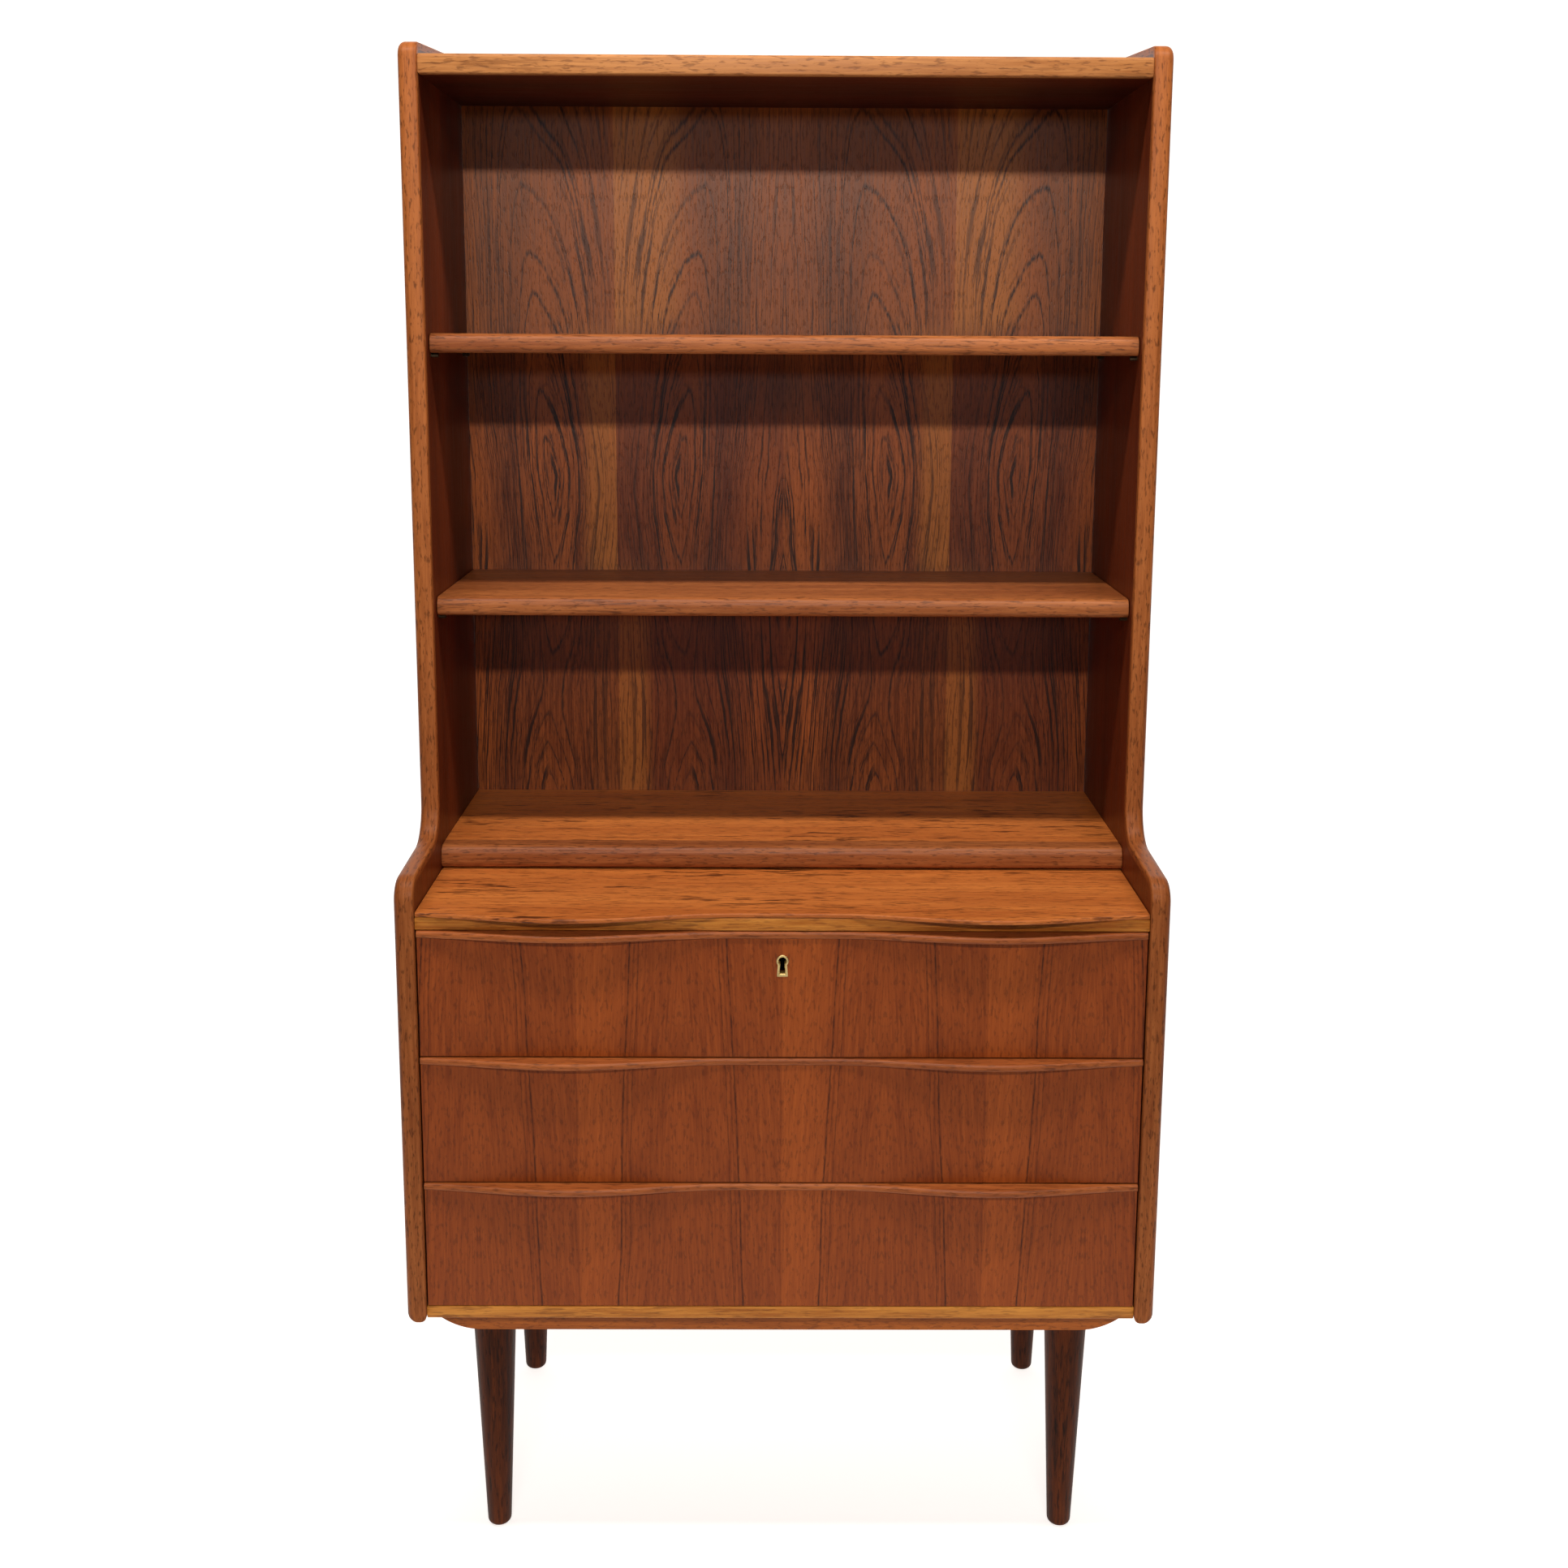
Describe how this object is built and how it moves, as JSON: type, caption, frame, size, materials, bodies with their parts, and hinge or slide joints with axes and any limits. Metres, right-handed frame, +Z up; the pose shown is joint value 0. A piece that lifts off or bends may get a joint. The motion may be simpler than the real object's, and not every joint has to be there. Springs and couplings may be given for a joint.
{
  "type": "secretary desk",
  "caption": "Teak secretary desk: open bookcase with adjustable shelves over a pull-out writing slide and a chest of drawers with wavy finger lips, on turned legs.",
  "frame": {"origin": "on the floor, under the middle of the whole desk's box", "axes": "+X right, -Y towards the person sitting at the desk, +Z up"},
  "size_m": [0.82, 0.435, 1.693],
  "materials": {
    "teak_veneer": "oiled teak veneer, satin",
    "teak_edge": "solid oiled teak, satin",
    "golden_edge": "pale solid teak edge, satin",
    "back_veneer": "book-matched dark teak veneer, satin",
    "dark_wood": "dark stained beech, satin",
    "drawer_wood": "plain pale wood, matt",
    "brass": "polished and slightly aged",
    "steel": "plain turned pin"
  },
  "bodies": {
    "root": {"left_side": "teak_veneer", "right_side": "teak_veneer", "top_panel": "teak_veneer", "upper_shelf": "teak_veneer", "middle_shelf": "teak_veneer", "counter_panel": "teak_veneer", "divider_panel": "teak_veneer", "bottom_panel": "teak_veneer", "left_side_lipping": "teak_edge", "right_side_lipping": "teak_edge", "counter_lipping": "teak_edge", "front_batten": "teak_edge", "rear_batten": "teak_edge", "top_lipping": "golden_edge", "divider_lipping": "golden_edge", "bottom_lipping": "golden_edge", "back_upper": "back_veneer", "back_lower": "back_veneer", "leg_front_left": "dark_wood", "leg_front_right": "dark_wood", "leg_rear_left": "dark_wood", "leg_rear_right": "dark_wood", "upper_pin_left_front": "steel", "upper_pin_left_rear": "steel", "upper_pin_right_front": "steel", "upper_pin_right_rear": "steel", "middle_pin_left_front": "steel", "middle_pin_left_rear": "steel", "middle_pin_right_front": "steel", "middle_pin_right_rear": "steel", "top_drawer_runner_left": "drawer_wood", "top_drawer_runner_right": "drawer_wood", "middle_drawer_runner_left": "drawer_wood", "middle_drawer_runner_right": "drawer_wood", "bottom_drawer_runner_left": "drawer_wood", "bottom_drawer_runner_right": "drawer_wood"},
    "writing_slide": {"slide_panel": "teak_veneer", "slide_lip": "teak_edge", "slide_stop": "drawer_wood"},
    "top_drawer": {"top_drawer_front": "teak_veneer", "top_drawer_lip": "teak_edge", "top_drawer_side_left": "drawer_wood", "top_drawer_side_right": "drawer_wood", "top_drawer_back": "drawer_wood", "top_drawer_bottom": "drawer_wood", "escutcheon": "brass", "lock_case": "brass"},
    "middle_drawer": {"middle_drawer_front": "teak_veneer", "middle_drawer_lip": "teak_edge", "middle_drawer_side_left": "drawer_wood", "middle_drawer_side_right": "drawer_wood", "middle_drawer_back": "drawer_wood", "middle_drawer_bottom": "drawer_wood"},
    "bottom_drawer": {"bottom_drawer_front": "teak_veneer", "bottom_drawer_lip": "teak_edge", "bottom_drawer_side_left": "drawer_wood", "bottom_drawer_side_right": "drawer_wood", "bottom_drawer_back": "drawer_wood", "bottom_drawer_bottom": "drawer_wood"},
    "lock_bolt": {"lock_bolt": "brass"}
  },
  "joints": [
    {"name": "writing_slide_pull", "type": "slide", "parent": "root", "child": "writing_slide", "axis": [0, -1, 0], "range_m": [0, 0.19]},
    {"name": "top_drawer_pull", "type": "slide", "parent": "root", "child": "top_drawer", "axis": [0, -1, 0], "range_m": [0, 0.3]},
    {"name": "middle_drawer_pull", "type": "slide", "parent": "root", "child": "middle_drawer", "axis": [0, -1, 0], "range_m": [0, 0.3]},
    {"name": "bottom_drawer_pull", "type": "slide", "parent": "root", "child": "bottom_drawer", "axis": [0, -1, 0], "range_m": [0, 0.3]},
    {"name": "lock_bolt_throw", "type": "slide", "parent": "top_drawer", "child": "lock_bolt", "axis": [0, 0, 1], "range_m": [0, 0.008]}
  ]
}
